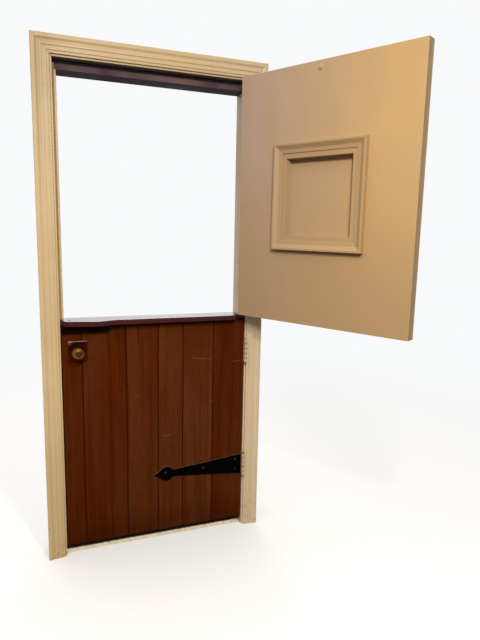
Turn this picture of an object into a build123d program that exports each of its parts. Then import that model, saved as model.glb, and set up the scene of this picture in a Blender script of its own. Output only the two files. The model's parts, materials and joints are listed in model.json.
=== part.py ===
from build123d import *
import os

# A dutch stable door in its frame, in millimetres.
# X runs across the opening, Y runs from the room to the outdoors, Z is up.
# The origin is on the underside of the sill, at the middle of the opening and of the jambs' depth.
# The leaves hang on the +X side; the lower one is closed and the upper one stands open.

# Frame
OPENING_W = 818.0
OPENING_H = 2069.0
JAMB_T = 19.0
JAMB_D = 116.0
SIDE_STOP_T = 18.0
HEAD_STOP_T = 42.0
HEAD_STOP_BEVEL = 8.0
STOP_ROUND = 2.5
SEAL_W = 10.0
HEAD_SEAL_W = 10.0
SEAL_CLEARANCE = 0.5
SEAL_T = 5.5
SEAL_ROUND = 2.0

# Room-side casing, a colonial profile that is thin at the opening and thick at the wall
CASING_W = 69.0
CASING_T = 17.0
CASING_REVEAL = 7.0
CASING_NOSE_W = 11.0
CASING_NOSE_T = 8.5
CASING_STEP_T = 12.0
CASING_TAPER_T = 11.5
CASING_BEAD_AT = 28.0
CASING_BEAD_W = 8.0
CASING_BEAD_T = 14.5
CASING_COVE_T = 12.5
CASING_COVE_RUN = 9.0
CASING_COVE_R = 6.0
CASING_BAND_W = 15.0
CASING_ROUND = 3.0
CASING_BEAD_ROUND = 1.3

# Outdoor brick moulding
BRICK_W = 51.0
BRICK_T = 32.0
BRICK_REVEAL = 6.0
BRICK_NOSE_T = 15.0
BRICK_NOSE_W = 9.0
BRICK_COVE_RUN = 12.0
BRICK_COVE_R = 6.0
BRICK_ROUND = 3.0

# Sill
SILL_FRONT_SETBACK = 20.0
SILL_FRONT_H = 20.0
SILL_H = 32.0
SILL_SADDLE_START = 40.0
SILL_SADDLE_END = 64.0
SILL_NOSE_OVERHANG = 49.0
SILL_NOSE_H = 14.0
SILL_HORN = 8.0
SILL_ROUND = 2.0

# Leaves: a slab with boards on the room side
LEAF_GAP = 3.0
HEAD_GAP = 2.0
SLAB_T = 30.0
BOARD_T = 14.0
SILL_GAP = 13.0
LOWER_LEAF_H = 985.0
MEETING_GAP = 5.0
UPPER_OPEN_ANGLE = 117.0
BOARD_WIDTHS = (81.7, 184.0, 140.1, 113.0, 142.3, 150.9)
V_GROOVE = 3.5
TONGUE_T = 4.0
TONGUE_W = 5.0
TONGUE_SETBACK = 5.5
TONGUE_PLAY = 0.2
SWEEP_SETBACK = 4.0
SWEEP_T = 24.0
SWEEP_CLEARANCE = 0.5

# Shelf on the lower leaf
SHELF_T = 20.0
SHELF_OVERHANG = 42.0
SHELF_WIDE_OVERHANG = 71.0
SHELF_WIDE_START_OVERHANG = 42.0
SHELF_OUTER_LIP = 14.0
SHELF_LIP_END_GAP = 6.5
SHELF_LOCK_SETBACK = 7.5
SHELF_HINGE_SETBACK = 51.5
SHELF_WIDE_L = 138.0
SHELF_CURVE_L = 62.0
SHELF_CURVE_R = 70.0
SHELF_CORNER_R = 26.0
SHELF_EDGE_R = 3.0
SHELF_LIP_R = 4.0

# Blanked light in the upper leaf
LIGHT_SIZE = 303.0
LIGHT_RISE = 3.5
LIGHT_PANEL_T = 3.0
LIGHT_TRIM_W = 58.0
LIGHT_TRIM_LIP_T = 22.0
LIGHT_TRIM_FILLET_T = 8.0
LIGHT_TRIM_FILLET_W = 20.0
LIGHT_TRIM_STEP = 3.5
LIGHT_TRIM_COVE_AT = 35.0
LIGHT_TRIM_COVE_RISE = 1.5
LIGHT_TRIM_LIP_W = 8.0
LIGHT_TRIM_COVE_R = 7.0
LIGHT_TRIM_ROUND = 1.5
VIEWER_X = 11.5
VIEWER_DROP = 26.5
VIEWER_R = 10.0
VIEWER_T = 3.0
VIEWER_EYE_R = 5.0
VIEWER_EYE_T = 5.0
VIEWER_BEVEL = 2.0

# Butt hinges
PIN_SETBACK = 19.0
PIN_R = 4.0
PIN_PLAY = 0.05
PIN_HEAD_R = 6.0
PIN_HEAD_H = 4.0
PIN_HEAD_BEVEL = 2.0
KNUCKLE_R = 7.0
KNUCKLE_GAP = 0.4
KNUCKLES = 5
HINGE_H = 114.0
HINGE_LEAF_W = 51.0
HINGE_PLATE_T = 2.5
HINGE_PLATE_CLEARANCE = 1.0
LOWER_HINGE_INSETS = (275.0, 152.0)
UPPER_HINGE_INSETS = (150.0, 163.0)

# Strap on the lower leaf
STRAP_T = 4.0
STRAP_END_SETBACK = 3.5
STRAP_END_W = 102.0
STRAP_NECK_AT = 332.0
STRAP_NECK_W = 34.0
STRAP_BOSS_AT = 364.0
STRAP_BOSS_W = 67.0
STRAP_SHOULDER_AT = 392.0
STRAP_SHOULDER_W = 42.0
STRAP_L = 428.0
STRAP_BEVEL = 1.0
NAIL_R = 7.0
NAIL_H = 4.0
NAIL_BEVEL = 2.6
STRAP_NAILS = ((368.5, 2.0), (188.5, 0.0), (27.0, 24.5), (27.0, -24.5))

# Knob set and spring latch
KNOB_DROP = 112.0
BACKSET = 64.0
KNOB_R = 26.5
KNOB_CENTRE_AT = 45.0
KNOB_NECK_R = 9.0
KNOB_NECK_L = 19.0
KNOB_BACK_R = 20.0
KNOB_FACE_R = 15.0
KNOB_SOCKET = 16.0
KNOB_PLAY = 0.1
PLATE_W = 77.0
PLATE_H = 84.0
PLATE_T = 3.0
PLATE_BORDER_W = 6.0
PLATE_BORDER_T = 2.0
PLATE_EDGE_R = 1.0
SPINDLE_SIDE = 8.0
SPINDLE_BORE_R = 11.0
CASE_R = 12.0
CASE_FIT = 0.15
CASE_L = 72.0
CASE_HUB_R = 6.3
FACEPLATE_W = 25.0
FACEPLATE_H = 57.0
FACEPLATE_T = 2.5
LATCH_W = 12.0
LATCH_H = 16.0
LATCH_L = 30.0
LATCH_PLAY = 0.4
LATCH_TAIL_W = 6.0
LATCH_TAIL_H = 9.0
LATCH_TAIL_L = 20.0
LATCH_BEVEL = 8.0
LATCH_THROW = 11.5
STRIKE_W = 30.0
STRIKE_H = 58.0
STRIKE_T = 2.0
STRIKE_HOLE_MARGIN = 1.5
STRIKE_POCKET_SPARE = 2.0

# Barrel bolt that ties the leaves
BOLT_INSET = 33.5
BOLT_R = 5.0
BOLT_STANDOFF = 9.0
BOLT_RAISED = 2.0
BOLT_THROW = 22.0
BOLT_PLAY = 0.1
BOLT_PLATE_W = 38.0
BOLT_PLATE_T = 2.0
BOLT_PLATE_RISE = 8.0
BOLT_GUIDE_R = 8.0
BOLT_GUIDE_H = 20.0
BOLT_KNOB_R = 4.0
BOLT_KNOB_L = 16.0
BOLT_KNOB_SPARE = 3.0
BOLT_HOLE_PLAY = 0.8

# Planes and lines that several pieces share
HALF_OPENING = OPENING_W / 2
ROOM_Y = -JAMB_D / 2
OUT_Y = JAMB_D / 2
HALF_LEAF = HALF_OPENING - LEAF_GAP
SLAB_Y = ROOM_Y + BOARD_T
LEAF_OUT_Y = SLAB_Y + SLAB_T
SEAL_Y = LEAF_OUT_Y + SEAL_CLEARANCE
STOP_Y = SEAL_Y + SEAL_T
PIN_X = HALF_OPENING - LEAF_GAP / 2
PIN_Y = ROOM_Y - PIN_SETBACK
PIN_AXIS = Axis((PIN_X, PIN_Y, 0), (0, 0, 1))
LOWER_LEAF_BOTTOM = SILL_H + SILL_GAP
LOWER_LEAF_TOP = LOWER_LEAF_BOTTOM + LOWER_LEAF_H
SHELF_TOP = LOWER_LEAF_TOP + SHELF_T
UPPER_LEAF_BOTTOM = SHELF_TOP + MEETING_GAP
UPPER_LEAF_TOP = OPENING_H - HEAD_GAP
LOWER_HINGE_Z = (LOWER_LEAF_BOTTOM + LOWER_HINGE_INSETS[0], LOWER_LEAF_TOP - LOWER_HINGE_INSETS[1])
UPPER_HINGE_Z = (UPPER_LEAF_BOTTOM + UPPER_HINGE_INSETS[0], UPPER_LEAF_TOP - UPPER_HINGE_INSETS[1])
KNOB_X = -HALF_LEAF + BACKSET
KNOB_Z = LOWER_LEAF_TOP - KNOB_DROP
BOLT_X = -HALF_LEAF + BOLT_INSET
BOLT_Y = ROOM_Y - BOLT_STANDOFF

parts = {}


def block(x, y, z):
    """A box from three (low, high) spans."""
    size = [high - low for low, high in (x, y, z)]
    centre = [(high + low) / 2 for low, high in (x, y, z)]
    return Pos(*centre) * Box(*size)


def rod(radius, start, direction, length):
    """A round bar from start along direction."""
    return Plane(start, z_dir=direction) * extrude(Circle(radius), length)


def section(*corners):
    """A flat outline. A corner is (u, v), or (u, v, radius) where it is rounded."""
    points = [corner[:2] for corner in corners]
    radii = [corner[2] if len(corner) > 2 else 0 for corner in corners]
    return make_face(FilletPolyline(*points, radius=radii, close=True))


def trim_run(profile, start, end, outward, mitres, reach):
    """A run of moulding along its inner edge from start to end.

    The profile's u runs outward from the opening, and its v runs along the direction from
    start to end crossed with outward. mitres says which of the two ends is cut at 45 degrees
    towards outward, and reach is the profile's width.
    """
    start, end, outward = Vector(*start), Vector(*end), Vector(*outward)
    along = (end - start).normalized()
    first = start - along * (reach if mitres[0] else 0)
    last = end + along * (reach if mitres[1] else 0)
    run = extrude(Plane(first, x_dir=outward, z_dir=along) * profile, (last - first).length)
    if mitres[0]:
        run = split(run, bisect_by=Plane(start, z_dir=along + outward), keep=Keep.TOP)
    if mitres[1]:
        run = split(run, bisect_by=Plane(end, z_dir=along - outward), keep=Keep.BOTTOM)
    return run


# Sill: one timber with a low saddle, a weathered slope outdoors and horns under the outer trim
sill_nose_y = OUT_Y + SILL_NOSE_OVERHANG
sill_profile = section(
    (ROOM_Y + SILL_FRONT_SETBACK, 0),
    (ROOM_Y + SILL_FRONT_SETBACK, SILL_FRONT_H, SILL_ROUND),
    (ROOM_Y + SILL_SADDLE_START, SILL_H),
    (ROOM_Y + SILL_SADDLE_END, SILL_H),
    (sill_nose_y, SILL_NOSE_H, 2 * SILL_ROUND),
    (sill_nose_y, 0),
)
sill_half = HALF_OPENING + BRICK_REVEAL + BRICK_W + SILL_HORN
sill = extrude(Plane((-sill_half, 0, 0), x_dir=(0, 1, 0), z_dir=(1, 0, 0)) * sill_profile, 2 * sill_half)
for side in (-1, 1):
    sill -= block(
        sorted((side * HALF_OPENING, side * (sill_half + SILL_HORN))),
        (ROOM_Y, OUT_Y),
        (-SILL_H, 2 * SILL_H),
    )
parts["sill"] = sill

# Jambs: two legs with the head laid across their tops
hinge_zs = LOWER_HINGE_Z + UPPER_HINGE_Z
plate_y = (PIN_Y + KNUCKLE_R + HINGE_PLATE_CLEARANCE, PIN_Y + HINGE_LEAF_W)
jamb_plate_x = (HALF_OPENING, HALF_OPENING + HINGE_PLATE_T)
leaf_plate_x = (HALF_LEAF - HINGE_PLATE_T, HALF_LEAF)


def hinge_span(centre_z):
    return (centre_z - HINGE_H / 2, centre_z + HINGE_H / 2)


jamb_right = block((HALF_OPENING, HALF_OPENING + JAMB_T), (ROOM_Y, OUT_Y), (0, OPENING_H))
for centre_z in hinge_zs:
    jamb_right -= block(jamb_plate_x, plate_y, hinge_span(centre_z))
parts["jamb_right"] = jamb_right

latch_y = SLAB_Y + SLAB_T / 2
strike_hole_half_y = LATCH_W / 2 + STRIKE_HOLE_MARGIN
strike_hole_half_z = LATCH_H / 2 + STRIKE_HOLE_MARGIN
strike_plate_box = block(
    (-HALF_OPENING - STRIKE_T, -HALF_OPENING),
    (latch_y - STRIKE_W / 2, latch_y + STRIKE_W / 2),
    (KNOB_Z - STRIKE_H / 2, KNOB_Z + STRIKE_H / 2),
)
strike_pocket = block(
    (-HALF_LEAF - LATCH_THROW - STRIKE_POCKET_SPARE, -HALF_OPENING),
    (latch_y - strike_hole_half_y, latch_y + strike_hole_half_y),
    (KNOB_Z - strike_hole_half_z, KNOB_Z + strike_hole_half_z),
)
jamb_left = block((-HALF_OPENING - JAMB_T, -HALF_OPENING), (ROOM_Y, OUT_Y), (0, OPENING_H))
parts["jamb_left"] = jamb_left - strike_plate_box - strike_pocket
parts["strike_plate"] = strike_plate_box - strike_pocket
parts["jamb_head"] = block(
    (-HALF_OPENING - JAMB_T, HALF_OPENING + JAMB_T),
    (ROOM_Y, OUT_Y),
    (OPENING_H, OPENING_H + JAMB_T),
)

# Stops: deep boards that the leaves close against, scribed to the sill
head_stop_z = OPENING_H - HEAD_STOP_T
stop_head = block((-HALF_OPENING, HALF_OPENING), (STOP_Y, OUT_Y), (head_stop_z, OPENING_H))
stop_head = chamfer(stop_head.edges().filter_by(Axis.X).group_by(Axis.Z)[0].sort_by(Axis.Y)[:1], HEAD_STOP_BEVEL)
parts["stop_head"] = stop_head
for name, side in (("stop_left", -1), ("stop_right", 1)):
    stop = block(
        sorted((side * (HALF_OPENING - SIDE_STOP_T), side * HALF_OPENING)),
        (STOP_Y, OUT_Y),
        (0, head_stop_z + HEAD_STOP_BEVEL),
    )
    room_edges = stop.edges().filter_by(Axis.Z).sort_by(lambda edge: abs(edge.center().X))[:2]
    parts[name] = fillet(room_edges.sort_by(Axis.Y)[:1], STOP_ROUND) - sill - stop_head

# Weatherstrip: three lengths of soft seal in the corner in front of the stops
seal_y = (SEAL_Y, STOP_Y)
seals = [
    block((-HALF_OPENING, -HALF_OPENING + SEAL_W), seal_y, (SILL_H, OPENING_H - HEAD_SEAL_W)),
    block((HALF_OPENING - SEAL_W, HALF_OPENING), seal_y, (SILL_H, OPENING_H - HEAD_SEAL_W)),
    block((-HALF_OPENING, HALF_OPENING), seal_y, (OPENING_H - HEAD_SEAL_W, OPENING_H)),
]
parts["weatherstrip"] = [
    fillet(seal.edges().filter_by(axis).group_by(Axis.Y)[0], SEAL_ROUND)
    for seal, axis in zip(seals, (Axis.Z, Axis.Z, Axis.X))
]

# Casing: two legs and a head round the room side, mitred at the top corners
casing_profile = section(
    (0, 0),
    (0, CASING_NOSE_T, CASING_ROUND),
    (CASING_NOSE_W, CASING_NOSE_T),
    (CASING_NOSE_W, CASING_STEP_T, CASING_BEAD_ROUND),
    (CASING_BEAD_AT, CASING_TAPER_T),
    (CASING_BEAD_AT, CASING_BEAD_T, CASING_BEAD_ROUND),
    (CASING_BEAD_AT + CASING_BEAD_W, CASING_BEAD_T, CASING_BEAD_ROUND),
    (CASING_W - CASING_BAND_W - CASING_COVE_RUN, CASING_COVE_T, CASING_COVE_R),
    (CASING_W - CASING_BAND_W, CASING_T, CASING_BEAD_ROUND),
    (CASING_W, CASING_T, CASING_ROUND),
    (CASING_W, 0),
)
casing_x = HALF_OPENING + CASING_REVEAL
casing_z = OPENING_H + CASING_REVEAL
parts["casing_left"] = trim_run(
    casing_profile, (-casing_x, ROOM_Y, 0), (-casing_x, ROOM_Y, casing_z), (-1, 0, 0), (False, True), CASING_W)
parts["casing_right"] = trim_run(
    casing_profile, (casing_x, ROOM_Y, casing_z), (casing_x, ROOM_Y, 0), (1, 0, 0), (True, False), CASING_W)
parts["casing_head"] = trim_run(
    casing_profile, (-casing_x, ROOM_Y, casing_z), (casing_x, ROOM_Y, casing_z), (0, 0, 1), (True, True), CASING_W)

# Brick moulding: the heavier trim outdoors, its legs scribed to the sill
brick_profile = section(
    (0, 0),
    (0, BRICK_NOSE_T, BRICK_ROUND),
    (BRICK_NOSE_W, BRICK_NOSE_T, BRICK_COVE_R),
    (BRICK_NOSE_W + BRICK_COVE_RUN, BRICK_T, BRICK_COVE_R),
    (BRICK_W, BRICK_T, BRICK_ROUND),
    (BRICK_W, 0),
)
brick_x = HALF_OPENING + BRICK_REVEAL
brick_z = OPENING_H + BRICK_REVEAL
parts["brickmould_left"] = trim_run(
    brick_profile, (-brick_x, OUT_Y, brick_z), (-brick_x, OUT_Y, 0), (-1, 0, 0), (True, False), BRICK_W) - sill
parts["brickmould_right"] = trim_run(
    brick_profile, (brick_x, OUT_Y, 0), (brick_x, OUT_Y, brick_z), (1, 0, 0), (False, True), BRICK_W) - sill
parts["brickmould_head"] = trim_run(
    brick_profile, (brick_x, OUT_Y, brick_z), (-brick_x, OUT_Y, brick_z), (0, 0, 1), (True, True), BRICK_W)


# Butt hinges: five knuckles each, three on the jamb's leaf and two on the door's
def hinge_leaf(centre_z, side, plate_x):
    low = centre_z - HINGE_H / 2
    step = HINGE_H / KNUCKLES
    leaf = block(plate_x, plate_y, hinge_span(centre_z))
    for index in range(0 if side > 0 else 1, KNUCKLES, 2):
        knuckle_low = low + index * step + (KNUCKLE_GAP / 2 if index else 0)
        knuckle_high = low + (index + 1) * step - (KNUCKLE_GAP / 2 if index < KNUCKLES - 1 else 0)
        leaf += rod(KNUCKLE_R, (PIN_X, PIN_Y, knuckle_low), (0, 0, 1), knuckle_high - knuckle_low)
        leaf += block(plate_x, (PIN_Y, plate_y[0]), (knuckle_low, knuckle_high))
    return leaf - rod(PIN_R + PIN_PLAY, (PIN_X, PIN_Y, low), (0, 0, 1), HINGE_H)


def hinge_pin(centre_z):
    low, high = hinge_span(centre_z)
    head = rod(PIN_HEAD_R, (0, 0, 0), (0, 0, 1), PIN_HEAD_H)
    head = chamfer(head.edges().group_by(Axis.Z)[-1], PIN_HEAD_BEVEL)
    pin = rod(PIN_R, (PIN_X, PIN_Y, low), (0, 0, 1), HINGE_H)
    pin += Pos(PIN_X, PIN_Y, high) * head
    pin += Pos(PIN_X, PIN_Y, low) * Rot(180, 0, 0) * head
    return pin


for number, centre_z in enumerate(hinge_zs, 1):
    parts[f"jamb_hinge_leaf_{number}"] = hinge_leaf(centre_z, 1, jamb_plate_x)
parts["hinge_pins"] = [hinge_pin(centre_z) for centre_z in hinge_zs]
for number, centre_z in enumerate(LOWER_HINGE_Z, 1):
    parts[f"lower_hinge_leaf_{number}"] = hinge_leaf(centre_z, -1, leaf_plate_x)


# Boards: tongue and groove, with a V at each joint on the room side. The first keeps its width, as it
# carries the knob, and the others share what the leaf's width leaves over.
def boards(low_z, high_z):
    spare = (2 * HALF_LEAF - sum(BOARD_WIDTHS)) / (len(BOARD_WIDTHS) - 1)
    edges = [-HALF_LEAF, -HALF_LEAF + BOARD_WIDTHS[0]]
    for width in BOARD_WIDTHS[1:]:
        edges.append(edges[-1] + width + spare)
    tongue_low = ROOM_Y + TONGUE_SETBACK
    tongue_high = tongue_low + TONGUE_T
    made = []
    for left, right in zip(edges, edges[1:]):
        outline = [(left + V_GROOVE, ROOM_Y), (right - V_GROOVE, ROOM_Y), (right, ROOM_Y + V_GROOVE)]
        if right < HALF_LEAF - TONGUE_W:
            outline += [
                (right, tongue_low),
                (right + TONGUE_W, tongue_low),
                (right + TONGUE_W, tongue_high),
                (right, tongue_high),
            ]
        outline += [(right, SLAB_Y), (left, SLAB_Y)]
        if left > -HALF_LEAF:
            groove_x = left + TONGUE_W + TONGUE_PLAY
            outline += [
                (left, tongue_high + TONGUE_PLAY),
                (groove_x, tongue_high + TONGUE_PLAY),
                (groove_x, tongue_low - TONGUE_PLAY),
                (left, tongue_low - TONGUE_PLAY),
            ]
        outline += [(left, ROOM_Y + V_GROOVE)]
        board = make_face(Polyline(*outline, close=True))
        made.append(Pos(0, 0, low_z) * extrude(board, high_z - low_z))
    return made


# Lower leaf: slab, boards and the pockets for hinges, latch and spindle
spindle_bore = rod(SPINDLE_BORE_R, (KNOB_X, ROOM_Y, KNOB_Z), (0, 1, 0), BOARD_T + SLAB_T)
faceplate_box = block(
    (-HALF_LEAF, -HALF_LEAF + FACEPLATE_T),
    (latch_y - FACEPLATE_W / 2, latch_y + FACEPLATE_W / 2),
    (KNOB_Z - FACEPLATE_H / 2, KNOB_Z + FACEPLATE_H / 2),
)
case_bore = rod(CASE_R + CASE_FIT, (-HALF_LEAF, latch_y, KNOB_Z), (1, 0, 0), CASE_L + CASE_FIT)
lower_slab = block((-HALF_LEAF, HALF_LEAF), (SLAB_Y, LEAF_OUT_Y), (LOWER_LEAF_BOTTOM, LOWER_LEAF_TOP))
lower_slab = lower_slab - spindle_bore - faceplate_box - case_bore
lower_boards = boards(LOWER_LEAF_BOTTOM, LOWER_LEAF_TOP)
for centre_z in LOWER_HINGE_Z:
    pocket = block(leaf_plate_x, plate_y, hinge_span(centre_z))
    lower_slab -= pocket
    lower_boards[-1] -= pocket
lower_boards[0] -= spindle_bore
parts["lower_slab"] = lower_slab
for number, board in enumerate(lower_boards, 1):
    parts[f"lower_board_{number}"] = board
parts["door_sweep"] = block(
    (-HALF_LEAF + SWEEP_SETBACK, HALF_LEAF - SWEEP_SETBACK),
    (LEAF_OUT_Y - SWEEP_T, LEAF_OUT_Y),
    (SILL_H + SWEEP_CLEARANCE, LOWER_LEAF_BOTTOM),
)

# Shelf: a board on the lower leaf, scrolled wider over the knob, with its ends notched to the frame
lip_end = HALF_OPENING - SIDE_STOP_T - SHELF_LIP_END_GAP
shelf_left = -HALF_LEAF + SHELF_LOCK_SETBACK
shelf_right = HALF_LEAF - SHELF_HINGE_SETBACK
shelf_wide_end = shelf_left + SHELF_WIDE_L
shelf_outline = section(
    (-HALF_LEAF, LEAF_OUT_Y),
    (-lip_end, LEAF_OUT_Y),
    (-lip_end, LEAF_OUT_Y + SHELF_OUTER_LIP, SHELF_LIP_R),
    (lip_end, LEAF_OUT_Y + SHELF_OUTER_LIP, SHELF_LIP_R),
    (lip_end, LEAF_OUT_Y),
    (HALF_LEAF, LEAF_OUT_Y),
    (HALF_LEAF, ROOM_Y),
    (shelf_right, ROOM_Y),
    (shelf_right, ROOM_Y - SHELF_OVERHANG, SHELF_CORNER_R),
    (shelf_wide_end + SHELF_CURVE_L, ROOM_Y - SHELF_OVERHANG, SHELF_CURVE_R),
    (shelf_wide_end, ROOM_Y - SHELF_WIDE_OVERHANG, SHELF_CURVE_R),
    (shelf_left, ROOM_Y - SHELF_WIDE_START_OVERHANG, SHELF_CORNER_R),
    (shelf_left, ROOM_Y),
    (-HALF_LEAF, ROOM_Y),
)
shelf = Pos(0, 0, LOWER_LEAF_TOP) * extrude(shelf_outline, SHELF_T)
front_edges = [edge for edge in shelf.edges().group_by(Axis.Z)[-1] if edge.center().Y < ROOM_Y - SHELF_EDGE_R]
shelf = fillet(front_edges, SHELF_EDGE_R)
parts["shelf"] = shelf - rod(BOLT_R + BOLT_HOLE_PLAY, (BOLT_X, BOLT_Y, LOWER_LEAF_TOP), (0, 0, 1), SHELF_T)

# Strap: a tapered bar with a spear head, held by round-headed nails
strap_end = Vector(HALF_LEAF - STRAP_END_SETBACK, ROOM_Y, LOWER_HINGE_Z[0])
strap_half = make_face([
    Line((0, 0), (0, STRAP_END_W / 2)),
    Line((0, STRAP_END_W / 2), (-STRAP_NECK_AT, STRAP_NECK_W / 2)),
    Spline(
        (-STRAP_NECK_AT, STRAP_NECK_W / 2),
        (-STRAP_BOSS_AT, STRAP_BOSS_W / 2),
        (-STRAP_SHOULDER_AT, STRAP_SHOULDER_W / 2),
        (-STRAP_L, 0),
    ),
    Line((-STRAP_L, 0), (0, 0)),
])
strap_face = strap_half + mirror(strap_half, Plane.XZ)
strap = Plane(strap_end, x_dir=(1, 0, 0), z_dir=(0, -1, 0)) * extrude(strap_face, STRAP_T)
parts["strap"] = chamfer(strap.edges().group_by(Axis.Y)[0], STRAP_BEVEL)

nail_head = rod(NAIL_R, (0, 0, 0), (0, 0, 1), NAIL_H)
nail_head = chamfer(nail_head.edges().group_by(Axis.Z)[-1], NAIL_BEVEL)
parts["strap_nails"] = [
    Plane(strap_end + Vector(-along, -STRAP_T, rise), z_dir=(0, -1, 0)) * nail_head for along, rise in STRAP_NAILS
]


# Knob set: a square plate and a round knob on each face, on one square spindle
def knob_plate(face_y, outward):
    plane = Plane((KNOB_X, face_y, KNOB_Z), x_dir=(1, 0, 0), z_dir=(0, outward, 0))
    plate = extrude(Rectangle(PLATE_W, PLATE_H), PLATE_T + PLATE_BORDER_T)
    plate = fillet(plate.edges().group_by(Axis.Z)[-1], PLATE_EDGE_R)
    field = extrude(Rectangle(PLATE_W - 2 * PLATE_BORDER_W, PLATE_H - 2 * PLATE_BORDER_W), PLATE_BORDER_T)
    plate -= Pos(0, 0, PLATE_T) * field
    return plane * (plate - extrude(Circle(KNOB_NECK_R + KNOB_PLAY), PLATE_T + PLATE_BORDER_T))


def knob(face_y, outward):
    back = (KNOB_BACK_R, KNOB_CENTRE_AT - (KNOB_R**2 - KNOB_BACK_R**2) ** 0.5)
    face = (KNOB_FACE_R, KNOB_CENTRE_AT + (KNOB_R**2 - KNOB_FACE_R**2) ** 0.5)
    profile = make_face([
        Polyline(face, (0, face[1]), (0, 0), (KNOB_NECK_R, 0), (KNOB_NECK_R, KNOB_NECK_L), back),
        ThreePointArc(back, (KNOB_R, KNOB_CENTRE_AT), face),
    ])
    plane = Plane((KNOB_X, face_y, KNOB_Z), x_dir=(1, 0, 0), z_dir=(0, outward, 0))
    turned = revolve(Plane.XZ * profile, Axis.Z)
    return plane * (turned - extrude(Rectangle(SPINDLE_SIDE, SPINDLE_SIDE), KNOB_SOCKET))


parts["knob_plate_inside"] = knob_plate(ROOM_Y, -1)
parts["knob_plate_outside"] = knob_plate(LEAF_OUT_Y, 1)
parts["knob_inside"] = knob(ROOM_Y, -1)
parts["knob_outside"] = knob(LEAF_OUT_Y, 1)
parts["spindle"] = block(
    (KNOB_X - SPINDLE_SIDE / 2, KNOB_X + SPINDLE_SIDE / 2),
    (ROOM_Y - KNOB_SOCKET, LEAF_OUT_Y + KNOB_SOCKET),
    (KNOB_Z - SPINDLE_SIDE / 2, KNOB_Z + SPINDLE_SIDE / 2),
)

# Spring latch: a tubular case with its faceplate, and a bevelled bolt drawn back flush
latch_head_x = (-HALF_LEAF, -HALF_LEAF + LATCH_L)
latch_tail_x = (latch_head_x[1], latch_head_x[1] + LATCH_TAIL_L)
latch = block(latch_head_x, (latch_y - LATCH_W / 2, latch_y + LATCH_W / 2),
              (KNOB_Z - LATCH_H / 2, KNOB_Z + LATCH_H / 2))
latch = chamfer(latch.edges().filter_by(Axis.Z).group_by(Axis.X)[0].sort_by(Axis.Y)[-1:],
                LATCH_BEVEL, LATCH_BEVEL)
latch += block(latch_tail_x, (latch_y - LATCH_TAIL_W / 2, latch_y + LATCH_TAIL_W / 2),
               (KNOB_Z - LATCH_TAIL_H / 2, KNOB_Z + LATCH_TAIL_H / 2))
parts["latch_bolt"] = latch


def latch_way(x, width, height):
    half_y = width / 2 + LATCH_PLAY
    half_z = height / 2 + LATCH_PLAY
    return block(x, (latch_y - half_y, latch_y + half_y), (KNOB_Z - half_z, KNOB_Z + half_z))


case = rod(CASE_R, (-HALF_LEAF, latch_y, KNOB_Z), (1, 0, 0), CASE_L) + faceplate_box
case -= latch_way((latch_head_x[0], latch_head_x[1] + LATCH_PLAY), LATCH_W, LATCH_H)
case -= latch_way((latch_tail_x[0], KNOB_X), LATCH_TAIL_W, LATCH_TAIL_H)
parts["latch_case"] = case - rod(CASE_HUB_R, (KNOB_X, latch_y - CASE_R, KNOB_Z), (0, 1, 0), 2 * CASE_R)

# Upper leaf, modelled shut: stiles and rails round the light, boards on the room side
light_half = LIGHT_SIZE / 2
light_centre_z = (UPPER_LEAF_BOTTOM + UPPER_LEAF_TOP) / 2 + LIGHT_RISE
light_z = (light_centre_z - light_half, light_centre_z + light_half)
slab_y = (SLAB_Y, LEAF_OUT_Y)
upper_z = (UPPER_LEAF_BOTTOM, UPPER_LEAF_TOP)
upper = {
    "upper_stile_hinge": block((light_half, HALF_LEAF), slab_y, upper_z),
    "upper_stile_lock": block((-HALF_LEAF, -light_half), slab_y, upper_z),
    "upper_rail_top": block((-light_half, light_half), slab_y, (light_z[1], upper_z[1])),
    "upper_rail_bottom": block((-light_half, light_half), slab_y, (upper_z[0], light_z[0])),
    "light_panel": block((-light_half, light_half), (SLAB_Y, SLAB_Y + LIGHT_PANEL_T), light_z),
}
upper_boards = boards(*upper_z)
for number, centre_z in enumerate(UPPER_HINGE_Z, 1):
    pocket = block(leaf_plate_x, plate_y, hinge_span(centre_z))
    upper["upper_stile_hinge"] -= pocket
    upper_boards[-1] -= pocket
    upper[f"upper_hinge_leaf_{number}"] = hinge_leaf(centre_z, -1, leaf_plate_x)
for number, board in enumerate(upper_boards, 1):
    upper[f"upper_board_{number}"] = board

# Trim round the light: high at its outer lip, stepping down to the opening, mitred at the corners
light_trim_profile = section(
    (0, 0),
    (0, LIGHT_TRIM_FILLET_T, LIGHT_TRIM_ROUND),
    (LIGHT_TRIM_FILLET_W, LIGHT_TRIM_FILLET_T),
    (LIGHT_TRIM_FILLET_W, LIGHT_TRIM_FILLET_T + LIGHT_TRIM_STEP, LIGHT_TRIM_ROUND),
    (LIGHT_TRIM_COVE_AT, LIGHT_TRIM_FILLET_T + LIGHT_TRIM_STEP + LIGHT_TRIM_COVE_RISE, LIGHT_TRIM_COVE_R),
    (LIGHT_TRIM_W - LIGHT_TRIM_LIP_W, LIGHT_TRIM_LIP_T, LIGHT_TRIM_ROUND),
    (LIGHT_TRIM_W, LIGHT_TRIM_LIP_T, LIGHT_TRIM_ROUND),
    (LIGHT_TRIM_W, 0),
)
light_corners = {
    "low_left": (-light_half, LEAF_OUT_Y, light_z[0]),
    "low_right": (light_half, LEAF_OUT_Y, light_z[0]),
    "high_right": (light_half, LEAF_OUT_Y, light_z[1]),
    "high_left": (-light_half, LEAF_OUT_Y, light_z[1]),
}
for name, start, end, outward in (
    ("light_trim_bottom", "low_left", "low_right", (0, 0, -1)),
    ("light_trim_right", "low_right", "high_right", (1, 0, 0)),
    ("light_trim_top", "high_right", "high_left", (0, 0, 1)),
    ("light_trim_left", "high_left", "low_left", (-1, 0, 0)),
):
    upper[name] = trim_run(
        light_trim_profile, light_corners[start], light_corners[end], outward, (True, True), LIGHT_TRIM_W)

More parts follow.
